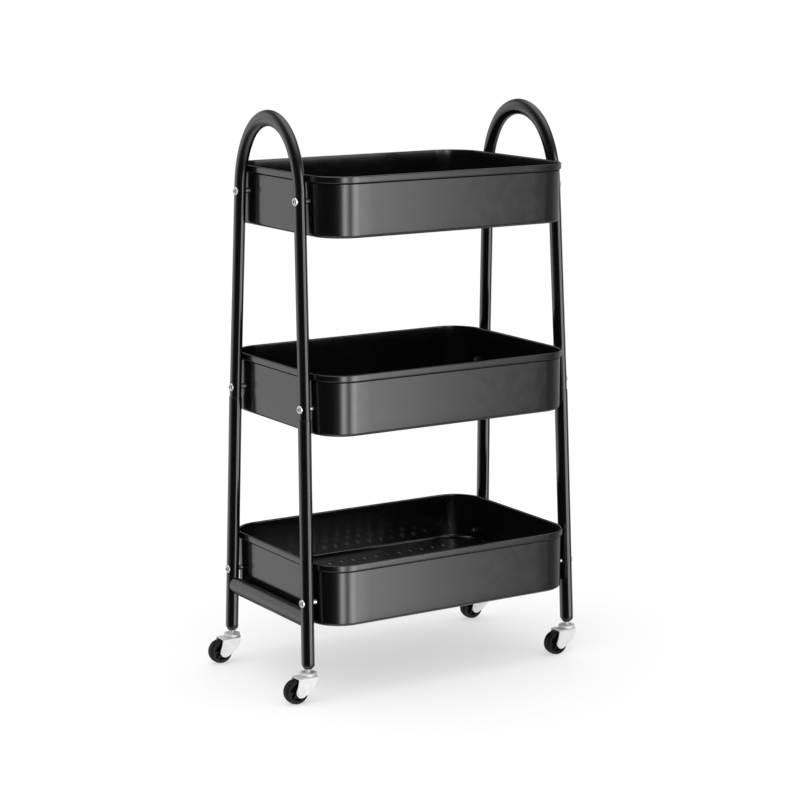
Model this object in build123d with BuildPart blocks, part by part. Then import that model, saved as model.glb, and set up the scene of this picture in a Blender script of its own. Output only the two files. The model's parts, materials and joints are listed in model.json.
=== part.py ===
from build123d import *
import math
import os

os.makedirs("parts", exist_ok=True)

# ---------------------------------------------------------------- dimensions (mm)
# end frames: oval tube, long axis in the plane of the frame
UP_A, UP_B = 7.5, 11.6          # upper tube semi-axes (across, in plane)
UP_WALL = 1.0
LO_A, LO_B = 8.3, 12.4          # lower tube semi-axes
LO_WALL = 0.75
FIT = 0.05                      # radial clearance of sliding and screwed joints
FRAME_X0 = 225.96               # half spacing of the frames at floor level
LEAN = 0.016079                 # inward lean of the frames per mm of height
LEG_Z0, LEG_Y0 = 47.8, 115.80   # bottom end of a leg
JOINT_Z, JOINT_Y = 404.7, 102.74  # step where the upper tube enters the lower one
INSERT_LEN = 45.0
BEND_Z, BEND_R = 410.0, 1500.0  # slight bend just above the step
SPRING_Z, SPRING_Y = 719.66, 86.86  # where the arch springs from the leg
APEX_Z = 818.2                  # centreline of the arch at the top
SHOULDER = 37.78                # tube direction at the change of arch radius (deg from vertical)
SWAGE = 6.2                     # length of the closed-in leg end
SWAGE_R = 5.75

# trays: rim half length, rim top, depth
TRAY_B = 151.2
TRAYS = {
    "top": (206.1, 745.7, 85.5),
    "middle": (210.5, 470.3, 87.4),
    "bottom": (215.0, 199.4, 89.5),
}
LIP = 2.5                       # rim stands proud of the wall by this
LIP_H = 9.8
SHEET = 0.9
CORNER_R = 48.0                 # outer wall corner in plan
FLOOR_R = 5.0                   # wall to floor bend
FLOOR_UP = {"top": 0.0, "middle": 0.0, "bottom": 19.0}   # floor above the foot of the wall
FOOT_IN = 9.0                   # turned-in foot of the wall under the raised floor
SLOT_L, SLOT_W, SLOT_PITCH_X, SLOT_PITCH_Y = 14.0, 3.2, 20.6, 34.0

# screws through the legs
SCREW_R = 2.95
HOLE_R = 3.2
HEAD_R, HEAD_H = 6.0, 3.3
SEAT, PAD_R, PAD_T = 1.2, 6.2, 1.0   # flat seat pressed into the tube under each head
SCREW_Z = {"top": 708.8, "middle": 420.0, "bottom": 143.4}
SPACER_R = 3.9
NUT_R, NUT_L = 5.5, 4.5

# crossbars between the lower legs
BAR_Z, BAR_A, BAR_B, BAR_WALL = 119.2, 7.6, 13.0, 1.0

# casters, measured from the stem axis; every wheel trails towards -X
TRAIL = 20.3
WHEEL_R, WHEEL_W = 17.8, 14.0
TYRE_R0 = 14.6
CORE_BORE_R, AXLE_R = 2.55, 2.5
HUB_HALF = 9.7
FORK_W, FORK_T = 23.0, 1.6
FORK_TOP = 38.2
FORK_NOSE = 13.0
STEM_R = 3.95
STEM_TOP = 68.0
BALL_R, BALL_N, BALL_PCR = 1.5, 14, 8.6
RACE_H = 0.8                    # raised ball track on the fork plate

CX = (TRAIL + WHEEL_R - FORK_NOSE) / 2.0   # puts the bounding box over the origin


# ---------------------------------------------------------------- helpers
def leg_x(z):
    return FRAME_X0 - LEAN * z


LOW_SLOPE = (LEG_Y0 - JOINT_Y) / (JOINT_Z - LEG_Z0)
A0 = math.atan(LOW_SLOPE)


def low_y(z):
    return LEG_Y0 - LOW_SLOPE * (z - LEG_Z0)


# direction of the leg above the slight bend, so that it reaches the spring point
A1 = A0
for _ in range(30):
    y_end = low_y(BEND_Z) - BEND_R * (math.cos(A0) - math.cos(A1))
    z_end = BEND_Z + BEND_R * (math.sin(A1) - math.sin(A0))
    A1 = math.atan((y_end - SPRING_Y) / (SPRING_Z - z_end))
S1 = math.radians(SHOULDER)
_a11, _a12 = math.cos(A1) - math.cos(S1), math.cos(S1)
_a21, _a22 = math.sin(S1) - math.sin(A1), 1 - math.sin(S1)
_d = _a11 * _a22 - _a12 * _a21
ARCH_R1 = (SPRING_Y * _a22 - _a12 * (APEX_Z - SPRING_Z)) / _d
ARCH_R2 = (_a11 * (APEX_Z - SPRING_Z) - _a21 * SPRING_Y) / _d


def up_y(z):
    """y of the upper leg centreline at height z (straight part and first arch bend)."""
    if z <= SPRING_Z:
        return SPRING_Y + (SPRING_Z - z) * math.tan(A1)
    s = math.sin(A1) + (z - SPRING_Z) / ARCH_R1
    return SPRING_Y - ARCH_R1 * (math.cos(A1) - math.sqrt(1 - s * s))


norm = math.sqrt(1 + LEAN * LEAN)
LEAN_PLANE = Plane(
    origin=(CX + FRAME_X0, 0, 0),
    x_dir=(0, 1, 0),
    z_dir=(1 / norm, 0, LEAN / norm),
)
MID_PLANE = Plane.YZ.offset(CX)
FRONT_BACK = Plane.XZ


def leg_plane(z, sy):
    """plane across the lower leg at height z, local x in the frame plane, local y across"""
    d = Vector(-LEAN, -LOW_SLOPE * sy, 1).normalized()
    o = Vector(CX + leg_x(z), sy * low_y(z), z)
    n = Vector(1, 0, LEAN).normalized()
    return Plane(origin=o, x_dir=n.cross(d).normalized(), z_dir=d)


def save(part, name):
    part.label = name
    export_step(part, f"parts/{name}.step")
    print(name, round(part.volume, 2), len(part.solids()))


def mirrored(part, name, plane):
    with BuildPart() as m:
        mirror(part, about=plane)
    save(m.part, name)
    return m.part


# ---------------------------------------------------------------- upper arches
z_in = JOINT_Z - INSERT_LEN
p_in = (low_y(z_in), z_in)
p_b0 = (low_y(BEND_Z), BEND_Z)
p_b1 = (y_end, z_end)
p_sp = (SPRING_Y, SPRING_Z)
sh_y = SPRING_Y - ARCH_R1 * (math.cos(A1) - math.cos(S1))
sh_z = SPRING_Z + ARCH_R1 * (math.sin(S1) - math.sin(A1))
am = (A0 + A1) / 2
p_bm = (low_y(BEND_Z) - BEND_R * (math.cos(A0) - math.cos(am)), BEND_Z + BEND_R * (math.sin(am) - math.sin(A0)))
sm = (A1 + S1) / 2
p_sm = (SPRING_Y - ARCH_R1 * (math.cos(A1) - math.cos(sm)), SPRING_Z + ARCH_R1 * (math.sin(sm) - math.sin(A1)))
apex = (0, sh_z + ARCH_R2 * (1 - math.sin(S1)))
tm = (S1 + math.pi / 2) / 2
p_tm = (sh_y - ARCH_R2 * (math.cos(S1) - math.cos(tm)), sh_z + ARCH_R2 * (math.sin(tm) - math.sin(S1)))


def neg(p):
    return (-p[0], p[1])


start = LEAN_PLANE.from_local_coords((p_in[0], p_in[1], 0))
t_in = LEAN_PLANE.from_local_coords((p_b0[0], p_b0[1], 0)) - start
SEC_PLANE = Plane(origin=start, x_dir=LEAN_PLANE.z_dir, z_dir=t_in)

with BuildPart() as right_upper_arch:
    with BuildLine(LEAN_PLANE) as path:
        Line(p_in, p_b0)
        ThreePointArc(p_b0, p_bm, p_b1)
        Line(p_b1, p_sp)
        ThreePointArc(p_sp, p_sm, (sh_y, sh_z))
        ThreePointArc((sh_y, sh_z), p_tm, apex)
        ThreePointArc(apex, neg(p_tm), neg((sh_y, sh_z)))
        ThreePointArc(neg((sh_y, sh_z)), neg(p_sm), neg(p_sp))
        Line(neg(p_sp), neg(p_b1))
        ThreePointArc(neg(p_b1), neg(p_bm), neg(p_b0))
        Line(neg(p_b0), neg(p_in))
    with BuildSketch(SEC_PLANE):
        Ellipse(UP_A, UP_B)
        Ellipse(UP_A - UP_WALL, UP_B - UP_WALL, mode=Mode.SUBTRACT)
    sweep()
    for key in ("top", "middle"):
        zs = SCREW_Z[key]
        seat_x = CX + leg_x(zs) + UP_A - SEAT
        with BuildSketch(Plane(origin=(seat_x - PAD_T, 0, zs), x_dir=(0, 1, 0), z_dir=(1, 0, 0))):
            with Locations((up_y(zs), 0), (-up_y(zs), 0)):
                Circle(PAD_R)
        extrude(amount=PAD_T)
        with BuildSketch(Plane(origin=(seat_x, 0, zs), x_dir=(0, 1, 0), z_dir=(1, 0, 0))):
            with Locations((up_y(zs), 0), (-up_y(zs), 0)):
                Circle(HEAD_R + 0.4)
        extrude(amount=6, mode=Mode.SUBTRACT)
        with BuildSketch(Plane(origin=(CX + leg_x(zs) - 20, 0, zs), x_dir=(0, 1, 0), z_dir=(1, 0, 0))):
            with Locations((up_y(zs), 0), (-up_y(zs), 0)):
                Circle(HOLE_R)
        extrude(amount=40, mode=Mode.SUBTRACT)
length = sum(e.length for e in path.edges())
section = math.pi * (UP_A * UP_B - (UP_A - UP_WALL) * (UP_B - UP_WALL))
print("arch length", round(length, 1), "section x length", round(length * section, 1))
save(right_upper_arch.part, "right_upper_arch")
mirrored(right_upper_arch.part, "left_upper_arch", MID_PLANE)

# ---------------------------------------------------------------- lower legs
leg_len = math.hypot(JOINT_Z - LEG_Z0, LEG_Y0 - JOINT_Y, LEAN * (JOINT_Z - LEG_Z0))
LP = leg_plane(LEG_Z0, 1)
with BuildPart() as right_rear_lower_leg:
    with BuildSketch(LP):
        Circle(SWAGE_R)
    with BuildSketch(LP.offset(SWAGE)):
        Ellipse(LO_B, LO_A)
    loft()
    with BuildSketch(LP.offset(SWAGE)):
        Ellipse(LO_B, LO_A)
    extrude(amount=leg_len - SWAGE)
    with BuildSketch(LP.offset(SWAGE)):
        Ellipse(LO_B - LO_WALL, LO_A - LO_WALL)
    extrude(amount=leg_len, mode=Mode.SUBTRACT)
    with BuildSketch(Plane.XY.offset(LEG_Z0 - 3)):
        with Locations((CX + leg_x(LEG_Z0), LEG_Y0)):
            Circle(STEM_R + 0.35)
    extrude(amount=SWAGE + 6, mode=Mode.SUBTRACT)
    zs = SCREW_Z["bottom"]
    seat_x = CX + leg_x(zs) + LO_A - SEAT
    with BuildSketch(Plane(origin=(seat_x - PAD_T, low_y(zs), zs), x_dir=(0, 1, 0), z_dir=(1, 0, 0))):
        Circle(PAD_R)
    extrude(amount=PAD_T)
    with BuildSketch(Plane(origin=(seat_x, low_y(zs), zs), x_dir=(0, 1, 0), z_dir=(1, 0, 0))):
        Circle(HEAD_R + 0.4)
    extrude(amount=6, mode=Mode.SUBTRACT)
    with BuildSketch(Plane(origin=(CX + leg_x(zs) - 20, low_y(zs), zs), x_dir=(0, 1, 0), z_dir=(1, 0, 0))):
        Circle(HOLE_R)
    extrude(amount=40, mode=Mode.SUBTRACT)
save(right_rear_lower_leg.part, "right_rear_lower_leg")
right_front_leg = mirrored(right_rear_lower_leg.part, "right_front_lower_leg", FRONT_BACK)
mirrored(right_rear_lower_leg.part, "left_rear_lower_leg", MID_PLANE)
mirrored(right_front_leg, "left_front_lower_leg", MID_PLANE)

# ---------------------------------------------------------------- leg end plugs that take the stems
PLUG_LEN = 20.0
with BuildPart() as plug:
    with BuildSketch(LP.offset(SWAGE + 0.3)):
        Ellipse(LO_B - LO_WALL - FIT, LO_A - LO_WALL - FIT)
    extrude(amount=PLUG_LEN)
    with BuildSketch(Plane.XY.offset(LEG_Z0)):
        with Locations((CX + leg_x(LEG_Z0), LEG_Y0)):
            Circle(STEM_R + FIT)
    extrude(amount=PLUG_LEN + 20, mode=Mode.SUBTRACT)
with BuildPart() as plug_front:
    mirror(plug.part, about=FRONT_BACK)
with BuildPart() as leg_end_plugs:
    add(plug.part)
    add(plug_front.part)
    mirror(plug.part, about=MID_PLANE)
    mirror(plug_front.part, about=MID_PLANE)
save(leg_end_plugs.part, "leg_end_plugs")

# ---------------------------------------------------------------- crossbars
BAR_X = CX + leg_x(BAR_Z)
BAR_Y = low_y(BAR_Z)
with BuildPart() as right_crossbar:
    with BuildSketch(Plane(origin=(BAR_X, -BAR_Y, BAR_Z), x_dir=(1, 0, 0), z_dir=(0, 1, 0))):
        Ellipse(BAR_A, BAR_B)
        Ellipse(BAR_A - BAR_WALL, BAR_B - BAR_WALL, mode=Mode.SUBTRACT)
    extrude(amount=2 * BAR_Y)
    for sy in (1, -1):
        with BuildSketch(leg_plane(LEG_Z0 + 20, sy)):
            Ellipse(LO_B + 0.02, LO_A + 0.02)
        extrude(amount=130, mode=Mode.SUBTRACT)
# keep only the long middle solid
bar_solid = sorted(right_crossbar.part.solids(), key=lambda s: s.volume)[-1]
with BuildPart() as right_bar:
    add(bar_solid)
save(right_bar.part, "right_crossbar")
mirrored(right_bar.part, "left_crossbar", MID_PLANE)


# ---------------------------------------------------------------- trays
for name, (A, T, H) in TRAYS.items():
    wa, wb = A - LIP, TRAY_B - LIP
    with BuildPart() as hollow:
        with BuildSketch(Plane.XY.offset(T - H + FLOOR_UP[name] + SHEET)):
            with Locations((CX, 0)):
                RectangleRounded(2 * (wa - SHEET), 2 * (wb - SHEET), CORNER_R - SHEET)
        extrude(amount=H)
        fillet(hollow.faces().sort_by(Axis.Z)[0].edges(), FLOOR_R - SHEET)
    if FLOOR_UP[name] > 0:
        # space below the raised floor, inside the turned-in foot
        with BuildPart() as under:
            with BuildSketch(Plane.XY.offset(T - H + SHEET)):
                with Locations((CX, 0)):
                    RectangleRounded(2 * (wa - SHEET), 2 * (wb - SHEET), CORNER_R - SHEET)
            extrude(amount=FLOOR_UP[name] - SHEET)
            fillet(under.faces().sort_by(Axis.Z)[0].edges(), FLOOR_R - SHEET)
            with BuildSketch(Plane.XY.offset(T - H - 1)):
                with Locations((CX, 0)):
                    RectangleRounded(2 * (wa - FOOT_IN), 2 * (wb - FOOT_IN), CORNER_R - FOOT_IN)
            extrude(amount=SHEET + 2)
    with BuildPart() as tray:
        with BuildSketch(Plane.XY.offset(T - H)):
            with Locations((CX, 0)):
                RectangleRounded(2 * wa, 2 * wb, CORNER_R)
        extrude(amount=H)
        fillet(tray.faces().sort_by(Axis.Z)[0].edges(), FLOOR_R)
        add(hollow.part, mode=Mode.SUBTRACT)
        if FLOOR_UP[name] > 0:
            add(under.part, mode=Mode.SUBTRACT)
        # rolled lip: out over the wall and down
        with BuildSketch(Plane.XY.offset(T - LIP_H)):
            with Locations((CX, 0)):
                RectangleRounded(2 * A, 2 * TRAY_B, CORNER_R + LIP)
                RectangleRounded(2 * wa - 0.2, 2 * wb - 0.2, CORNER_R - 0.1, mode=Mode.SUBTRACT)
        extrude(amount=LIP_H)
        fillet(tray.faces().sort_by(Axis.Z)[-1].edges(), 1.55)
        with BuildSketch(Plane.XY.offset(T - LIP_H)):
            with Locations((CX, 0)):
                RectangleRounded(2 * (A - SHEET), 2 * (TRAY_B - SHEET), CORNER_R + LIP - SHEET)
                RectangleRounded(2 * wa, 2 * wb, CORNER_R, mode=Mode.SUBTRACT)
        extrude(amount=LIP_H - 1.9, mode=Mode.SUBTRACT)
        zs = SCREW_Z[name]
        ys = low_y(zs) if name == "bottom" else up_y(zs)
        with BuildSketch(Plane(origin=(CX - A - 5, 0, zs), x_dir=(0, 1, 0), z_dir=(1, 0, 0))):
            with Locations((ys, 0), (-ys, 0)):
                Circle(HOLE_R)
        extrude(amount=2 * A + 10, mode=Mode.SUBTRACT)
        if name == "bottom":
            with BuildSketch(Plane.XY.offset(T - H + FLOOR_UP[name] - 1)):
                with Locations((CX, 0)):
                    with GridLocations(SLOT_PITCH_X, SLOT_PITCH_Y, 17, 7):
                        SlotOverall(SLOT_L, SLOT_W, rotation=90)
            extrude(amount=SHEET + 2, mode=Mode.SUBTRACT)
    save(tray.part, f"{name}_tray")

# ---------------------------------------------------------------- screws, spacers, nuts
for name, (A, T, H) in TRAYS.items():
    zs = SCREW_Z[name]
    ys = low_y(zs) if name == "bottom" else up_y(zs)
    half = LO_A if name == "bottom" else UP_A
    xt_in = leg_x(zs) - half        # leg face nearest the tray
    xt_out = leg_x(zs) + half
    wa, wb = A - LIP, TRAY_B - LIP
    # wall face at the screw height, on the corner curve when the screw sits there
    cy = wb - CORNER_R
    if ys > cy:
        wall = wa - CORNER_R + math.sqrt(CORNER_R ** 2 - (ys - cy) ** 2)
    else:
        wall = wa
    low = ys + NUT_R > cy           # fitted to the corner curve of the wall
    reach = wall - SHEET - NUT_L - 2.0
    with BuildPart() as one_screw:
        with BuildSketch(Plane(origin=(CX + reach, ys, zs), x_dir=(0, 1, 0), z_dir=(1, 0, 0))):
            Circle(SCREW_R)
        extrude(amount=xt_out - SEAT + 0.25 - reach)
        with BuildSketch(Plane(origin=(CX + xt_out - SEAT + 0.12, ys, zs), x_dir=(0, 1, 0), z_dir=(1, 0, 0))):
            Circle(HEAD_R)
        extrude(amount=HEAD_H)
        fillet(one_screw.faces().sort_by(Axis.X)[-1].edges(), 2.4)
        with BuildSketch(Plane(origin=(CX + xt_out - SEAT + 0.12 + HEAD_H, ys, zs), x_dir=(0, 1, 0), z_dir=(-1, 0, 0))):
            RegularPolygon(2.6, 6)
        extrude(amount=2.3, mode=Mode.SUBTRACT)
    with BuildPart() as one_spacer:
        with BuildSketch(Plane(origin=(CX + xt_in - 0.15, ys, zs), x_dir=(0, 1, 0), z_dir=(-1, 0, 0))):
            Circle(SPACER_R)
            Circle(SCREW_R + 0.15, mode=Mode.SUBTRACT)
        extrude(amount=xt_in - 0.15 - wall + (3.0 if low else -0.05))
        if low:
            with BuildSketch(Plane.XY.offset(zs - 20)):
                with Locations((CX, 0)):
                    RectangleRounded(2 * wa + 0.1, 2 * wb + 0.1, CORNER_R + 0.05)
            extrude(amount=40, mode=Mode.SUBTRACT)
    with BuildPart() as one_nut:
        with BuildSketch(Plane(origin=(CX + wall - SHEET - NUT_L, ys, zs), x_dir=(0, 1, 0), z_dir=(1, 0, 0))):
            Circle(NUT_R)
            Circle(SCREW_R + FIT, mode=Mode.SUBTRACT)
        extrude(amount=NUT_L + (3.0 if low else -0.05))
        if low:
            with BuildSketch(Plane.XY.offset(zs - 20)):
                with Locations((CX, 0)):
                    RectangleRounded(2 * (wa - SHEET) - 0.1, 2 * (wb - SHEET) - 0.1, CORNER_R - SHEET - 0.05)
            extrude(amount=40, mode=Mode.INTERSECT)
    for piece, label in ((one_screw.part, f"{name}_tray_screws"), (one_spacer.part, f"{name}_tray_spacers"), (one_nut.part, f"{name}_tray_nuts")):
        with BuildPart() as pair:
            add(piece)
            mirror(piece, about=FRONT_BACK)
        with BuildPart() as group:
            add(pair.part)
            mirror(pair.part, about=MID_PLANE)
        save(group.part, label)

# ---------------------------------------------------------------- casters
for side, sx in (("left", -1), ("right", 1)):
    for end, sy in (("front", -1), ("rear", 1)):
        ox = CX + sx * leg_x(LEG_Z0)
        oy = sy * LEG_Y0
        tag = f"{side}_{end}"
        axle_z = WHEEL_R

        # threaded stem with its riveted lower end
        with BuildPart() as stem:
            with BuildSketch(Plane.XY.offset(33.6)):
                with Locations((ox, oy)):
                    Circle(5.2)
            extrude(amount=2.95)
            fillet(stem.faces().sort_by(Axis.Z)[0].edges(), 1.6)
            with BuildSketch(Plane.XY.offset(36.0)):
                with Locations((ox, oy)):
                    Circle(STEM_R)
            extrude(amount=STEM_TOP - 36.0)
            chamfer(stem.faces().sort_by(Axis.Z)[-1].edges(), 0.8)
        save(stem.part, f"{tag}_caster_stem")

        # pressed upper race
        with BuildPart() as cup:
            with BuildSketch(Plane(origin=(ox, oy, 0), x_dir=(1, 0, 0), z_dir=(0, -1, 0))):
                with BuildLine():
                    Polyline(
                        (STEM_R + FIT, 41.0), (STEM_R + FIT, 41.9), (6.0, 41.9), (6.9, 42.8), (7.5, 43.1),
                        (10.5, 43.1), (11.3, 42.95), (11.85, 42.5), (12.15, 41.9), (12.2, 41.2), (12.2, 39.6),
                        (11.4, 39.6), (11.4, 41.2), (11.1, 41.8), (10.4, 42.06), (7.3, 42.06), (6.3, 41.0),
                        (STEM_R + FIT, 41.0),
                    )
                make_face()
            revolve(axis=Axis((ox, oy, 0), (0, 0, 1)))
        save(cup.part, f"{tag}_caster_race")

        # bearing balls under the race
        with BuildPart() as balls:
            with Locations((ox, oy, FORK_TOP + RACE_H + BALL_R + 0.01)):
                with PolarLocations(BALL_PCR, BALL_N):
                    Sphere(BALL_R)
        save(balls.part, f"{tag}_caster_balls")

        # fork: bent top plate and two cheeks
        with BuildPart() as fork:
            with BuildSketch(Plane(origin=(ox, oy + FORK_W / 2, 0), x_dir=(1, 0, 0), z_dir=(0, -1, 0))):
                with BuildLine():
                    Polyline((-20.2, FORK_TOP), (-22.0, 28.0), (-24.6, 20.5), (-24.6, 15.8), (-21.4, 11.3), (-17.6, 10.0), (-13.4, 10.8), (-7.0, 13.8), (3.9, 23.0), (8.4, 30.5), (10.0, FORK_TOP), (-20.2, FORK_TOP))
                make_face()
                with Locations((-TRAIL, axle_z)):
                    Circle(4.8)
            extrude(amount=FORK_W)
            with BuildSketch(Plane(origin=(ox, oy, FORK_TOP), x_dir=(1, 0, 0), z_dir=(0, 0, -1))):
                with Locations((FORK_NOSE - FORK_W / 2, 0)):
                    Circle(FORK_W / 2)
            extrude(amount=FORK_T)
            with BuildSketch(Plane(origin=(ox, oy, 0), x_dir=(0, 1, 0), z_dir=(1, 0, 0))) as gap:
                with Locations((0, (FORK_TOP - FORK_T) / 2)):
                    Rectangle(FORK_W - 2 * FORK_T, FORK_TOP - FORK_T)
            extrude(amount=60, both=True, mode=Mode.SUBTRACT)
            long_edges = fork.edges().filter_by(Axis.X).filter_by(lambda e: e.length > 15 and abs(e.center().Z - FORK_TOP) < 0.01)
            fillet(long_edges, 2.2)
            with BuildSketch(Plane.XY.offset(FORK_TOP)):
                with Locations((ox, oy)):
                    Circle(10.9)
            extrude(amount=RACE_H)
            with BuildSketch(Plane.XY.offset(30)):
                with Locations((ox, oy)):
                    Circle(STEM_R + 0.08)
            extrude(amount=12, mode=Mode.SUBTRACT)
            with BuildSketch(Plane(origin=(ox - TRAIL, oy + 20, axle_z), x_dir=(1, 0, 0), z_dir=(0, -1, 0))):
                Circle(AXLE_R + FIT)
            extrude(amount=40, mode=Mode.SUBTRACT)
        save(fork.part, f"{tag}_caster_fork")

        # rivet axle
        with BuildPart() as axle:
            with BuildSketch(Plane(origin=(ox - TRAIL, oy + FORK_W / 2 + 0.5, axle_z), x_dir=(1, 0, 0), z_dir=(0, -1, 0))):
                Circle(AXLE_R)
            extrude(amount=FORK_W + 1.0)
            for y0, dy in ((oy + FORK_W / 2 + 0.02, 1), (oy - FORK_W / 2 - 0.02, -1)):
                with BuildSketch(Plane(origin=(ox - TRAIL, y0, axle_z), x_dir=(1, 0, 0), z_dir=(0, dy, 0))):
                    Circle(3.5)
                extrude(amount=1.0)
            fillet(axle.faces().sort_by(Axis.Y)[-1].edges(), 0.7)
            fillet(axle.faces().sort_by(Axis.Y)[0].edges(), 0.7)
        save(axle.part, f"{tag}_caster_axle")

        # wheel core: hub, web with ribs, rim
        hub_plane = Plane(origin=(ox - TRAIL, oy + HUB_HALF, axle_z), x_dir=(1, 0, 0), z_dir=(0, -1, 0))
        with BuildPart() as core:
            with BuildSketch(Plane(origin=(ox - TRAIL, oy + WHEEL_W / 2 - 0.6, axle_z), x_dir=(1, 0, 0), z_dir=(0, -1, 0))):
                Circle(TYRE_R0)
                Circle(TYRE_R0 - 2.2, mode=Mode.SUBTRACT)
            extrude(amount=WHEEL_W - 1.2)
            with BuildSketch(hub_plane):
                Circle(5.0)
            extrude(amount=2 * HUB_HALF)
            with BuildSketch(Plane(origin=(ox - TRAIL, oy + 1.0, axle_z), x_dir=(1, 0, 0), z_dir=(0, -1, 0))):
                Circle(TYRE_R0 - 1.0)
            extrude(amount=2.0)
            with BuildSketch(Plane(origin=(ox - TRAIL, oy + WHEEL_W / 2 - 2.2, axle_z), x_dir=(1, 0, 0), z_dir=(0, -1, 0))):
                with PolarLocations((TYRE_R0 + 3.0) / 2, 6):
                    Rectangle(TYRE_R0 - 5.5, 1.4)
            extrude(amount=WHEEL_W - 4.4)
            with BuildSketch(hub_plane):
                Circle(CORE_BORE_R)
            extrude(amount=2 * HUB_HALF, mode=Mode.SUBTRACT)
        save(core.part, f"{tag}_wheel_core")

        # tyre with stepped shoulders
        with BuildPart() as tyre:
            with BuildSketch(Plane(origin=(ox - TRAIL, oy, axle_z), x_dir=(0, 1, 0), z_dir=(1, 0, 0))):
                with BuildLine():
                    Polyline(
                        (-7.0, TYRE_R0 + 0.02), (-7.0, 16.5), (-6.5, 17.0), (-4.9, 17.1), (-4.5, 16.3), (-4.0, 16.3), (-3.6, 17.45), (-3.0, 17.8),
                        (3.0, 17.8), (3.6, 17.45), (4.0, 16.3), (4.5, 16.3), (4.9, 17.1), (6.5, 17.0), (7.0, 16.5), (7.0, TYRE_R0 + 0.02), (-7.0, TYRE_R0 + 0.02),
                    )
                make_face()
            revolve(axis=Axis((ox - TRAIL, oy, axle_z), (0, 1, 0)))
        save(tyre.part, f"{tag}_wheel_tyre")
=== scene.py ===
import bpy
import bmesh
import json
import math
from mathutils import Matrix, Vector


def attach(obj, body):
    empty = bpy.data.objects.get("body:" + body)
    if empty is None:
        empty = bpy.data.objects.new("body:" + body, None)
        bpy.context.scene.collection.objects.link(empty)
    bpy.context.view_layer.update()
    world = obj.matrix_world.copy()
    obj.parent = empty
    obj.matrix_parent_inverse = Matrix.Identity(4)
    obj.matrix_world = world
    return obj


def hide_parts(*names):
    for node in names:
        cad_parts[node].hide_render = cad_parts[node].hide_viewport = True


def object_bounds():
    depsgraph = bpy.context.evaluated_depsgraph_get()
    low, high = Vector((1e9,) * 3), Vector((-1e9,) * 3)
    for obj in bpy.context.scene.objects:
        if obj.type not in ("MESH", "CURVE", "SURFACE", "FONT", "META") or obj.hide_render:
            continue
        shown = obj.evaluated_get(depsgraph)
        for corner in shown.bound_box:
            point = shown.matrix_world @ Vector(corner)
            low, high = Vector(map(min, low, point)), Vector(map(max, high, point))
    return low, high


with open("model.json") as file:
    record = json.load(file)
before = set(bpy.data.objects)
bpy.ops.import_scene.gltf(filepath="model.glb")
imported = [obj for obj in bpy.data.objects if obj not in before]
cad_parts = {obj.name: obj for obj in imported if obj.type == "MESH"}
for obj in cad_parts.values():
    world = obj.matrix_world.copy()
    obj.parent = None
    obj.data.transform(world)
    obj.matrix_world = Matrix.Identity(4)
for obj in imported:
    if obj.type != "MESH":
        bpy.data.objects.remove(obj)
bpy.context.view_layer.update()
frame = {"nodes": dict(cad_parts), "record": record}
nodes = frame["nodes"]

MM = 0.001
LO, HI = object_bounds()
# leg and arch geometry, the same numbers as the CAD (mm)
CX = 12.55
FRAME_X0, LEAN = 225.96, 0.016079
UP_A, UP_B = 7.5, 11.6
LO_A, LO_B = 8.3, 12.4
LEG_Z0, LEG_Y0 = 47.8, 115.80
JOINT_Z, JOINT_Y = 404.7, 102.74
BEND_Z, BEND_R = 410.0, 1500.0
SPRING_Z, SPRING_Y = 719.66, 86.86
APEX_Z, SHOULDER = 818.2, math.radians(37.78)
TRAYS = {"top": (206.1, 745.7, 85.5), "middle": (210.5, 470.3, 87.4), "bottom": (215.0, 199.4, 89.5)}
TRAY_B, LIP, LIP_H, SHEET, CORNER_R, FLOOR_R = 151.2, 2.5, 9.8, 0.9, 48.0, 5.0
FLOOR_UP = {"top": 0.0, "middle": 0.0, "bottom": 19.0}   # floor above the foot of the wall
FOOT_IN = 9.0


# ------------------------------------------------------------------ materials
def new_mat(name):
    m = bpy.data.materials.new(name)
    m.use_nodes = True
    nt = m.node_tree
    for n in list(nt.nodes):
        nt.nodes.remove(n)
    out = nt.nodes.new("ShaderNodeOutputMaterial")
    bs = nt.nodes.new("ShaderNodeBsdfPrincipled")
    nt.links.new(bs.outputs["BSDF"], out.inputs["Surface"])
    tc = nt.nodes.new("ShaderNodeTexCoord")
    return m, nt, bs, tc


def noise(nt, tc, scale, detail=3.0, rough=0.5, stretch=None):
    n = nt.nodes.new("ShaderNodeTexNoise")
    n.inputs["Scale"].default_value = scale
    n.inputs["Detail"].default_value = detail
    n.inputs["Roughness"].default_value = rough
    if stretch:
        mp = nt.nodes.new("ShaderNodeMapping")
        mp.inputs["Scale"].default_value = stretch
        nt.links.new(tc.outputs["Object"], mp.inputs["Vector"])
        nt.links.new(mp.outputs["Vector"], n.inputs["Vector"])
    else:
        nt.links.new(tc.outputs["Object"], n.inputs["Vector"])
    return n


def ramp(nt, src, stops):
    r = nt.nodes.new("ShaderNodeValToRGB")
    r.color_ramp.elements[0].position = stops[0][0]
    r.color_ramp.elements[0].color = stops[0][1]
    r.color_ramp.elements[1].position = stops[-1][0]
    r.color_ramp.elements[1].color = stops[-1][1]
    for p, c in stops[1:-1]:
        e = r.color_ramp.elements.new(p)
        e.color = c
    nt.links.new(src, r.inputs["Fac"])
    return r


def maprange(nt, src, lo, hi, a=0.3, b=0.7):
    r = nt.nodes.new("ShaderNodeMapRange")
    r.inputs["From Min"].default_value = a
    r.inputs["From Max"].default_value = b
    r.inputs["To Min"].default_value = lo
    r.inputs["To Max"].default_value = hi
    nt.links.new(src, r.inputs["Value"])
    return r


def grey(v, t=(1, 1, 1)):
    return (v * t[0], v * t[1], v * t[2], 1)


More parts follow.
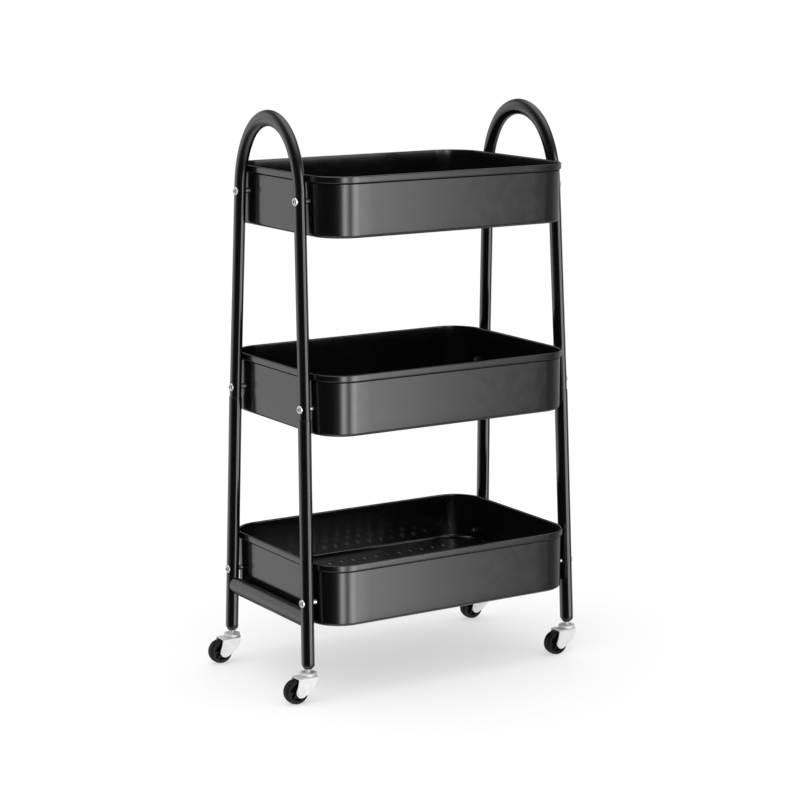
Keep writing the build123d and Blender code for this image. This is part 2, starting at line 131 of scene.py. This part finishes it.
def bump(nt, bs, src, dist, strength=1.0, prev=None):
    b = nt.nodes.new("ShaderNodeBump")
    b.inputs["Strength"].default_value = strength
    b.inputs["Distance"].default_value = dist
    nt.links.new(src, b.inputs["Height"])
    if prev is not None:
        nt.links.new(prev.outputs["Normal"], b.inputs["Normal"])
    nt.links.new(b.outputs["Normal"], bs.inputs["Normal"])
    return b


def powder_coat(name, base, rough, peel=0.00001, coat=0.0):
    m, nt, bs, tc = new_mat(name)
    broad = noise(nt, tc, 14.0, 4.0)
    fine = noise(nt, tc, 900.0, 2.0)
    col = ramp(nt, broad.outputs["Fac"], [(0.3, grey(base * 0.85, (1, 1, 1.02))), (0.7, grey(base * 1.2, (1, 1, 1.02)))])
    # painted highlight: the coat is a shade lighter on the convex bends and edges, standing in for the light they
    # catch
    geo = nt.nodes.new("ShaderNodeNewGeometry")
    painted_edge_highlight = maprange(nt, geo.outputs["Pointiness"], 0.0, 1.0, 0.52, 0.60)
    mix = nt.nodes.new("ShaderNodeMix")
    mix.data_type = "RGBA"
    nt.links.new(painted_edge_highlight.outputs["Result"], mix.inputs["Factor"])
    nt.links.new(col.outputs["Color"], mix.inputs["A"])
    mix.inputs["B"].default_value = grey(base * 1.9)
    nt.links.new(mix.outputs["Result"], bs.inputs["Base Color"])
    r = maprange(nt, noise(nt, tc, 60.0, 4.0).outputs["Fac"], rough - 0.02, rough + 0.02)
    nt.links.new(r.outputs["Result"], bs.inputs["Roughness"])
    peel_n = noise(nt, tc, 420.0, 1.0)
    b1 = bump(nt, bs, peel_n.outputs["Fac"], peel)
    bump(nt, bs, fine.outputs["Fac"], peel * 0.3, prev=b1)
    bs.inputs["IOR"].default_value = 1.7
    return m


def metal(name, base, rough, grain=0.000004, tint=(1, 1, 1.01)):
    m, nt, bs, tc = new_mat(name)
    broad = noise(nt, tc, 120.0, 4.0)
    col = ramp(nt, broad.outputs["Fac"], [(0.3, grey(base * 0.88, tint)), (0.7, grey(base, tint))])
    nt.links.new(col.outputs["Color"], bs.inputs["Base Color"])
    bs.inputs["Metallic"].default_value = 1.0
    r = maprange(nt, noise(nt, tc, 380.0, 4.0).outputs["Fac"], rough - 0.06, rough + 0.08)
    nt.links.new(r.outputs["Result"], bs.inputs["Roughness"])
    g = noise(nt, tc, 1800.0, 2.0)
    bump(nt, bs, g.outputs["Fac"], grain)
    return m


def plastic(name, base, rough, grain, scale=1400.0):
    m, nt, bs, tc = new_mat(name)
    broad = noise(nt, tc, 70.0, 4.0)
    col = ramp(nt, broad.outputs["Fac"], [(0.3, grey(base * 0.8)), (0.7, grey(base * 1.25))])
    nt.links.new(col.outputs["Color"], bs.inputs["Base Color"])
    r = maprange(nt, noise(nt, tc, 240.0, 3.0).outputs["Fac"], rough - 0.06, rough + 0.08)
    nt.links.new(r.outputs["Result"], bs.inputs["Roughness"])
    g = noise(nt, tc, scale, 3.0)
    bump(nt, bs, g.outputs["Fac"], grain)
    return m


FRAME_MAT = powder_coat("frame_powder_coat", 0.003, 0.15, peel=0.000002)
TRAY_MAT = powder_coat("tray_powder_coat", 0.003, 0.15, peel=0.0000015)
# the flat tray floor mirrors next to nothing; the band under the rolled rim is painted shade, darker and near-matte,
# standing in for the shadow under the lip
TRAY_FLOOR_MAT = powder_coat("tray_floor_powder_coat", 0.004, 0.30, peel=0.000002)
TRAY_FLOOR_MAT.node_tree.nodes["Principled BSDF"].inputs["Specular IOR Level"].default_value = 0.12
UNDER_LIP_PAINTED_SHADE_MAT = powder_coat("tray_under_lip_painted_shade", 0.002, 0.60, peel=0.000002)
UNDER_LIP_PAINTED_SHADE_MAT.node_tree.nodes["Principled BSDF"].inputs["Specular IOR Level"].default_value = 0.03
NUT_MAT = powder_coat("nut_coat_black", 0.004, 0.30, peel=0.000004)
ZINC = metal("bright_zinc", 0.90, 0.30)
CASTER_ZINC = metal("caster_zinc", 0.70, 0.38, grain=0.00001)
CASTER_ZINC.node_tree.nodes["Principled BSDF"].inputs["Metallic"].default_value = 0.3
BALL_STEEL = metal("bearing_steel", 0.70, 0.12)
PLUG = plastic("plug_plastic", 0.03, 0.5, 0.00002)
WHEEL = plastic("wheel_plastic", 0.005, 0.30, 0.000008)
TYRE = plastic("tyre_rubber", 0.005, 0.34, 0.00001)
for _m in (WHEEL, TYRE):
    _m.node_tree.nodes["Principled BSDF"].inputs["Specular IOR Level"].default_value = 0.14
SLOT_MAT = {
    "frame_coat": FRAME_MAT, "tray_coat": TRAY_MAT, "nut_coat": NUT_MAT, "plug_plastic": PLUG,
    "bright_zinc": ZINC, "caster_zinc": CASTER_ZINC, "bearing_steel": BALL_STEEL,
    "wheel_plastic": WHEEL, "tyre_black": TYRE,
}
node_slot = {s["node"]: s["material_slot"] for s in frame["record"]["subparts"]}
for name, ob in nodes.items():
    mat = SLOT_MAT[node_slot[name]]
    if not ob.material_slots:
        ob.data.materials.append(mat)
    for s in ob.material_slots:
        s.material = mat


# ------------------------------------------------------------------ mesh tools
def mesh_object(name, verts, faces, mat, body, replaced, smooth=True, sharp_deg=40):
    me = bpy.data.meshes.new(name)
    me.from_pydata([[c * MM for c in v] for v in verts], [], faces)
    me.validate()
    bm = bmesh.new()
    bm.from_mesh(me)
    bmesh.ops.recalc_face_normals(bm, faces=bm.faces)
    for f in bm.faces:
        f.smooth = smooth
    for e in bm.edges:
        if len(e.link_faces) == 2 and e.calc_face_angle(0) > math.radians(sharp_deg):
            e.smooth = False
    bm.to_mesh(me)
    bm.free()
    ob = bpy.data.objects.new(name, me)
    bpy.context.scene.collection.objects.link(ob)
    me.materials.append(mat)
    if replaced:
        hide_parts(*replaced)
    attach(ob, body)
    return ob


def loft_rings(rings, closed_loop=False):
    """quads between successive rings of equal count; returns verts, faces"""
    n = len(rings[0])
    verts = [p for r in rings for p in r]
    faces = []
    last = len(rings) if closed_loop else len(rings) - 1
    for i in range(last):
        j = (i + 1) % len(rings)
        for k in range(n):
            l = (k + 1) % n
            faces.append((i * n + k, i * n + l, j * n + l, j * n + k))
    return verts, faces


# ------------------------------------------------------------------ tubes
def leg_x(z):
    return FRAME_X0 - LEAN * z


LOW_SLOPE = (LEG_Y0 - JOINT_Y) / (JOINT_Z - LEG_Z0)
A0 = math.atan(LOW_SLOPE)


def low_y(z):
    return LEG_Y0 - LOW_SLOPE * (z - LEG_Z0)


A1 = A0
for _ in range(30):
    y_end = low_y(BEND_Z) - BEND_R * (math.cos(A0) - math.cos(A1))
    z_end = BEND_Z + BEND_R * (math.sin(A1) - math.sin(A0))
    A1 = math.atan((y_end - SPRING_Y) / (SPRING_Z - z_end))
_a11, _a12 = math.cos(A1) - math.cos(SHOULDER), math.cos(SHOULDER)
_a21, _a22 = math.sin(SHOULDER) - math.sin(A1), 1 - math.sin(SHOULDER)
_d = _a11 * _a22 - _a12 * _a21
R1 = (SPRING_Y * _a22 - _a12 * (APEX_Z - SPRING_Z)) / _d
R2 = (_a11 * (APEX_Z - SPRING_Z) - _a21 * SPRING_Y) / _d


def centreline():
    """rear half of the arch: (y, z, direction angle from vertical, towards the middle)"""
    z_in = JOINT_Z - 45.0
    pts = [(low_y(z_in), z_in, A0), (low_y(JOINT_Z), JOINT_Z, A0), (low_y(BEND_Z), BEND_Z, A0)]
    for i in range(1, 9):
        a = A0 + (A1 - A0) * i / 8
        pts.append((low_y(BEND_Z) - BEND_R * (math.cos(A0) - math.cos(a)), BEND_Z + BEND_R * (math.sin(a) - math.sin(A0)), a))
    y0, z0, _ = pts[-1]
    for i in range(1, 13):
        t = i / 12
        pts.append((y0 + (SPRING_Y - y0) * t, z0 + (SPRING_Z - z0) * t, A1))
    for i in range(1, 41):
        a = A1 + (SHOULDER - A1) * i / 40
        pts.append((SPRING_Y - R1 * (math.cos(A1) - math.cos(a)), SPRING_Z + R1 * (math.sin(a) - math.sin(A1)), a))
    y1, z1, _ = pts[-1]
    for i in range(1, 61):
        a = SHOULDER + (math.pi / 2 - SHOULDER) * i / 60
        pts.append((y1 - R2 * (math.cos(SHOULDER) - math.cos(a)), z1 + R2 * (math.sin(a) - math.sin(SHOULDER)), a))
    pts[-1] = (0.0, pts[-1][1], math.pi / 2)
    return pts


def tube_ring(sx, y, z, ang, a, b, n=72):
    """ellipse across the tube: semi-axis a across the frame, b in its plane"""
    q = 1 / math.sqrt(1 + LEAN * LEAN)
    across = Vector((sx * q, 0, LEAN * q))
    up = Vector((-sx * LEAN * q, 0, q))
    inplane = Vector((0, 1, 0)) * math.cos(ang) + up * math.sin(ang)
    o = Vector((CX + sx * leg_x(z), y, z))
    return [tuple(o + across * (a * math.cos(2 * math.pi * k / n)) + inplane * (b * math.sin(2 * math.pi * k / n))) for k in range(n)]


for side, sx in (("left", -1), ("right", 1)):
    half = centreline()
    whole = [(y, z, a) for y, z, a in half] + [(-y, z, math.pi - a) for y, z, a in reversed(half[:-1])]
    outer = [tube_ring(sx, y, z, a, UP_A, UP_B) for y, z, a in whole]
    inner = [tube_ring(sx, y, z, a, UP_A - 1.0, UP_B - 1.0) for y, z, a in reversed(whole)]
    v, f = loft_rings(outer + inner, closed_loop=True)
    mesh_object(f"{side}_arch_tube", v, f, FRAME_MAT, "cart", [f"{side}_upper_arch"], sharp_deg=60)
    for end, sy in (("rear", 1), ("front", -1)):
        rings = []
        # closed-in foot: full section to the stem collar
        prof = [(0.0, 4.35, 4.35), (0.0, 5.2, 5.2), (0.25, 5.75, 5.75)]
        for i in range(1, 15):
            t = i / 14
            s = 1 - (1 - t) ** 1.35
            prof.append((0.25 + 6.0 * t, 5.75 + (LO_A - 5.75) * s, 5.75 + (LO_B - 5.75) * s))
        zs = [(LEG_Z0 + h, a, b) for h, a, b in prof]
        zs += [(z, LO_A, LO_B) for z in [60, 75, 100, 130, 160, 200, 240, 280, 320, 360, 385, 400, 404.0]]
        zs += [(404.45, LO_A - 0.06, LO_B - 0.06), (404.7, LO_A - 0.3, LO_B - 0.3), (404.7, LO_A - 0.72, LO_B - 0.72), (398.0, LO_A - 0.75, LO_B - 0.75), (330.0, LO_A - 0.75, LO_B - 0.75)]
        for z, a, b in zs:
            rings.append(tube_ring(sx, sy * low_y(z), z, sy * A0 if sy > 0 else -A0, a, b))
        v, f = loft_rings(rings)
        mesh_object(f"{side}_{end}_leg_tube", v, f, FRAME_MAT, "cart", [f"{side}_{end}_lower_leg"], sharp_deg=60)
    # crossbar, coped onto the legs: its ends run into them
    BAR_Z = 119.2
    n = 72
    rings = []
    for i in range(9):
        y = (-1 + 2 * i / 8) * (low_y(BAR_Z) - 4.6)
        rings.append([(CX + sx * leg_x(BAR_Z) + 7.6 * math.cos(2 * math.pi * k / n), y, BAR_Z + 13.0 * math.sin(2 * math.pi * k / n)) for k in range(n)])
    v, f = loft_rings(rings)
    mesh_object(f"{side}_cross_tube", v, f, FRAME_MAT, "cart", [f"{side}_crossbar"], sharp_deg=60)


# ------------------------------------------------------------------ trays
def plan_ring(a, b, r, z, n_arc=28, n_side=14, n_end=10):
    """rounded rectangle, evenly divided, counter-clockwise from the +X side"""
    pts = []
    for cx, cy, a0 in ((a - r, b - r, 0), (-(a - r), b - r, 90), (-(a - r), -(b - r), 180), (a - r, -(b - r), 270)):
        for i in range(n_arc + 1):
            t = math.radians(a0 + 90 * i / n_arc)
            pts.append((CX + cx + r * math.cos(t), cy + r * math.sin(t), z))
        nx = n_side if a0 in (0, 180) else n_end
        # the straight run to the next corner
        nxt = {0: (-(a - r), b), 90: (-a, -(b - r)), 180: (a - r, -b), 270: (a, b - r)}[a0]
        x0, y0 = pts[-1][0] - CX, pts[-1][1]
        for i in range(1, nx):
            t = i / nx
            pts.append((CX + x0 + (nxt[0] - x0) * t, y0 + (nxt[1] - y0) * t, z))
    return pts


SLOT_L, SLOT_W, PITCH_X, PITCH_Y = 14.0, 3.2, 20.6, 34.0
for key, (A, T, H) in TRAYS.items():
    wa, wb = A - LIP, TRAY_B - LIP
    z0 = T - H
    up = FLOOR_UP[key]
    ri = FLOOR_R - SHEET
    prof = []   # (offset outward from the wall's outer face, z)
    if up > 0:      # below the raised floor: down the wall's inside to the turned-in foot
        prof += [(-SHEET, z0 + up - (up - FLOOR_R) * i / 4) for i in range(5)]
        for i in range(1, 9):
            t = math.pi / 2 * i / 8
            prof.append((-SHEET - ri + ri * math.cos(t), z0 + FLOOR_R - ri * math.sin(t)))
        prof += [(-FOOT_IN, z0 + SHEET), (-FOOT_IN, z0)]
    # outside floor edge -> wall -> under the lip -> lip -> inside wall -> inside floor edge
    for i in range(13):
        t = math.pi / 2 * i / 12
        prof.append((-FLOOR_R + FLOOR_R * math.sin(t), z0 + FLOOR_R - FLOOR_R * math.cos(t)))
    for i in range(1, 7):
        prof.append((0.0, z0 + FLOOR_R + (H - FLOOR_R - LIP_H - 1.4) * i / 6))
    prof.append((0.0, T - LIP_H + 1.0))
    prof += [(0.0, T - LIP_H + 2.2), (0.25, T - LIP_H + 1.55)]
    rb = 1.9
    for i in range(0, 11):      # curled lower edge
        t = -math.pi * 0.5 - 0.7 + (math.pi * 0.5 + 0.7) * i / 10
        prof.append((LIP - rb + rb * math.cos(t), T - LIP_H + rb + rb * math.sin(t)))
    prof += [(LIP, T - LIP_H + 4.0), (LIP, T - 3.0)]
    rl = 1.7
    for i in range(0, 15):
        t = math.pi * i / 14
        prof.append((LIP - rl + rl * math.cos(t), T - rl + rl * math.sin(t)))
    for i in range(1, 7):
        prof.append((-SHEET, T - 4.0 - (H - up - FLOOR_R - 4.0) * i / 6))
    for i in range(1, 11):
        t = math.pi / 2 * i / 10
        prof.append((-SHEET - ri + ri * math.cos(t), z0 + up + FLOOR_R - ri * math.sin(t)))
    rings = [plan_ring(wa + o, wb + o, CORNER_R + o, z) for o, z in prof]
    v, f = loft_rings(rings)
    n = len(rings[0])
    base = len(v)
    # floor sheet: a flat curve with its slots, filled, then given the sheet's thickness
    cu = bpy.data.curves.new(f"{key}_floor_curve", "CURVE")
    cu.dimensions = "2D"
    cu.fill_mode = "BOTH"
    cu.extrude = SHEET / 2 * MM
    o = -SHEET if up > 0 else -FLOOR_R
    outline = [(x, y) for x, y, _ in plan_ring(wa + o, wb + o, CORNER_R + o, z0)]
    loops = [outline]
    if key == "bottom":
        for i in range(17):
            for j in range(7):
                sx0, sy0 = CX + (i - 8) * PITCH_X, (j - 3) * PITCH_Y
                h = (SLOT_L - SLOT_W) / 2
                loop = []
                for k in range(9):
                    t = math.pi * k / 8
                    loop.append((sx0 + SLOT_W / 2 * math.cos(t), sy0 + h + SLOT_W / 2 * math.sin(t)))
                for k in range(9):
                    t = math.pi + math.pi * k / 8
                    loop.append((sx0 + SLOT_W / 2 * math.cos(t), sy0 - h + SLOT_W / 2 * math.sin(t)))
                loops.append(loop)
    for lp in loops:
        sp = cu.splines.new("POLY")
        sp.points.add(len(lp) - 1)
        for p, (x, y) in zip(sp.points, lp):
            p.co = (x * MM, y * MM, 0, 1)
        sp.use_cyclic_u = True
    tmp = bpy.data.objects.new("floor_tmp", cu)
    bpy.context.scene.collection.objects.link(tmp)
    dg = bpy.context.evaluated_depsgraph_get()
    fm = bpy.data.meshes.new_from_object(tmp.evaluated_get(dg))
    zmid = z0 + up + SHEET / 2
    v += [(p.co.x / MM, p.co.y / MM, p.co.z / MM + zmid) for p in fm.vertices]
    f += [tuple(base + i for i in p.vertices) for p in fm.polygons]
    bpy.data.objects.remove(tmp)
    bpy.data.curves.remove(cu)
    bpy.data.meshes.remove(fm)
    pan = mesh_object(f"{key}_pan", v, f, TRAY_MAT, "cart", [f"{key}_tray"], sharp_deg=50)
    pan.data.materials.append(UNDER_LIP_PAINTED_SHADE_MAT)
    pan.data.materials.append(TRAY_FLOOR_MAT)
    # painted shade: faces in the band just under the rolled lip get the dark near-matte material in place of the
    # shadow there
    for i in range(len(prof) - 1):
        mo, mz = (prof[i][0] + prof[i + 1][0]) / 2, (prof[i][1] + prof[i + 1][1]) / 2
        if mo > -0.01 and T - LIP_H - 1.5 < mz < T - LIP_H + 0.75:
            for k in range(n):
                pan.data.polygons[i * n + k].material_index = 1
    for i in range((len(prof) - 1) * n, len(pan.data.polygons)):
        pan.data.polygons[i].material_index = 2


# ------------------------------------------------------------------ stage
def plane(name, size, z, mat):
    bm = bmesh.new()
    bmesh.ops.create_grid(bm, x_segments=1, y_segments=1, size=size)
    me = bpy.data.meshes.new(name)
    bm.to_mesh(me)
    bm.free()
    ob = bpy.data.objects.new(name, me)
    ob.location.z = z
    bpy.context.scene.collection.objects.link(ob)
    me.materials.append(mat)
    return ob


m, nt, bs, tc = new_mat("floor_white")
n = noise(nt, tc, 2.0, 2.0)
col = ramp(nt, n.outputs["Fac"], [(0.3, grey(0.47)), (0.7, grey(0.475))])
nt.links.new(col.outputs["Color"], bs.inputs["Base Color"])
bs.inputs["Roughness"].default_value = 0.9
bs.inputs["Specular IOR Level"].default_value = 0.1
# a translucent white sweep lit from below as well: it glows, so shadows on it stay pale
bs.inputs["Emission Color"].default_value = (1, 1, 1, 1)
bs.inputs["Emission Strength"].default_value = 0.5
fl = plane("floor", 150.0, -0.0002, m)
fl.visible_glossy = False

# studio: white all round for the floor and the backdrop, tall soft strips and black flags for what the gloss mirrors
STRIPS = [
    (0, 0.8), (30, 0.7), (75, 0.8), (104, 0.62), (115, 0.40), (135, 0.42), (144.6, 0.35), (145.4, 0.65), (146.8, 1.55),
    (148.0, 2.5), (149.3, 5.0), (156, 6.6), (164, 7.2), (171, 5.0), (178, 2.0), (184, 1.5), (191, 4.2), (198, 6.9),
    (204, 5.0), (210, 1.3), (217, 0.35), (226, 0.14), (238, 0.04), (260, 0.01), (293, 0.03), (304, 0.15), (312, 0.35),
    (320, 0.85), (328, 1.6), (336, 1.65), (346, 1.2), (360, 0.8),
]
DIM = 0.62
TOP = 8.0 * DIM
w = bpy.data.worlds.new("studio")
bpy.context.scene.world = w
w.use_nodes = True
wt = w.node_tree
for n in list(wt.nodes):
    wt.nodes.remove(n)


def wn(kind, **kw):
    n = wt.nodes.new(kind)
    for k, v in kw.items():
        setattr(n, k, v)
    return n


tcw = wn("ShaderNodeTexCoord")
sep = wn("ShaderNodeSeparateXYZ")
wt.links.new(tcw.outputs["Generated"], sep.inputs["Vector"])
at = wn("ShaderNodeMath", operation="ARCTAN2")
wt.links.new(sep.outputs["X"], at.inputs[0])
wt.links.new(sep.outputs["Y"], at.inputs[1])
turn = wn("ShaderNodeMath", operation="DIVIDE")
wt.links.new(at.outputs[0], turn.inputs[0])
turn.inputs[1].default_value = 2 * math.pi
wrap = wn("ShaderNodeMath", operation="WRAP")
wt.links.new(turn.outputs[0], wrap.inputs[0])
wrap.inputs[1].default_value = 1.0
wrap.inputs[2].default_value = 0.0
cr = wn("ShaderNodeValToRGB")
els = cr.color_ramp.elements
els[0].position, els[0].color = 0.0, grey(STRIPS[0][1] * DIM / TOP)
els[1].position, els[1].color = 1.0, grey(STRIPS[-1][1] * DIM / TOP)
for az, lum in STRIPS[1:-1]:
    e = els.new(az / 360.0)
    e.color = grey(lum * DIM / TOP)
wt.links.new(wrap.outputs[0], cr.inputs["Fac"])
strips = wn("ShaderNodeBackground")
wt.links.new(cr.outputs["Color"], strips.inputs["Color"])
strips.inputs["Strength"].default_value = TOP
over = wn("ShaderNodeBackground")
over.inputs["Color"].default_value = grey(1.0)
over.inputs["Strength"].default_value = 1.6
# how far the strips reach up and down, and what is above and below them
zfrac = wn("ShaderNodeMapRange")
zfrac.inputs["From Min"].default_value = -1.0
zfrac.inputs["From Max"].default_value = 1.0
wt.links.new(sep.outputs["Z"], zfrac.inputs["Value"])
reach = wn("ShaderNodeValToRGB")
re_ = reach.color_ramp.elements
re_[0].position, re_[0].color = 0.20, grey(1.0)
re_[1].position, re_[1].color = 0.34, grey(0.0)
for p_, c_ in ((0.66, 0.0), (0.76, 1.0)):
    e_ = re_.new(p_)
    e_.color = grey(c_)
wt.links.new(zfrac.outputs["Result"], reach.inputs["Fac"])
cap = wn("ShaderNodeValToRGB")
ce_ = cap.color_ramp.elements
ce_[0].position, ce_[0].color = 0.0, grey(0.75)
ce_[1].position, ce_[1].color = 1.0, grey(1.0)
for p_, c_ in ((0.12, 0.45), (0.25, 0.10), (0.70, 0.03), (0.84, 0.25), (0.93, 1.0)):
    e_ = ce_.new(p_)
    e_.color = grey(c_)
wt.links.new(zfrac.outputs["Result"], cap.inputs["Fac"])
wt.links.new(cap.outputs["Color"], over.inputs["Color"])
gl = wn("ShaderNodeMixShader")
wt.links.new(reach.outputs["Color"], gl.inputs["Fac"])
wt.links.new(strips.outputs[0], gl.inputs[1])
wt.links.new(over.outputs[0], gl.inputs[2])
white = wn("ShaderNodeBackground")
white.inputs["Color"].default_value = (1, 1, 1, 1)
white.inputs["Strength"].default_value = 1.07
lp = wn("ShaderNodeLightPath")
mx = wn("ShaderNodeMixShader")
wt.links.new(lp.outputs["Is Glossy Ray"], mx.inputs["Fac"])
wt.links.new(white.outputs[0], mx.inputs[1])
wt.links.new(gl.outputs[0], mx.inputs[2])
wo = wn("ShaderNodeOutputWorld")
wt.links.new(mx.outputs[0], wo.inputs["Surface"])


def area(name, pos, target, sx, sy, power):
    l = bpy.data.lights.new(name, "AREA")
    l.shape = "RECTANGLE"
    l.size, l.size_y = sx, sy
    l.energy = power
    o = bpy.data.objects.new(name, l)
    o.location = pos
    d = Vector(target) - Vector(pos)
    o.rotation_euler = d.to_track_quat("-Z", "Y").to_euler()
    o.visible_glossy = False
    bpy.context.scene.collection.objects.link(o)
    return o


area("soft_top", (-1.1, -0.6, 3.4), (0, 0, 0.1), 3.4, 3.4, 30)

# ------------------------------------------------------------------ camera
psi, th, rho = 0.5536883801507748, 0.19085356690539468, -0.0029881704075517554
fw = Vector((math.sin(psi) * math.cos(th), math.cos(psi) * math.cos(th), -math.sin(th)))
rt = Vector((math.cos(psi), -math.sin(psi), 0))
up = rt.cross(fw)
c, s = math.cos(rho), math.sin(rho)
rt2 = rt * c + up * s
up2 = rt * -s + up * c
cam = bpy.data.cameras.new("camera")
cam.sensor_width = 36.0
cam.lens = 2366.8114 * 36.0 / 800.0
cam.clip_end = 100
co = bpy.data.objects.new("camera", cam)
pos = Vector((-1808.7998 + CX, -2927.4121, 1058.7101)) * MM
co.matrix_world = Matrix((
    (rt2.x, up2.x, -fw.x, pos.x),
    (rt2.y, up2.y, -fw.y, pos.y),
    (rt2.z, up2.z, -fw.z, pos.z),
    (0, 0, 0, 1),
))
bpy.context.scene.collection.objects.link(co)
bpy.context.scene.camera = co
bpy.context.scene.view_settings.view_transform = "Standard"
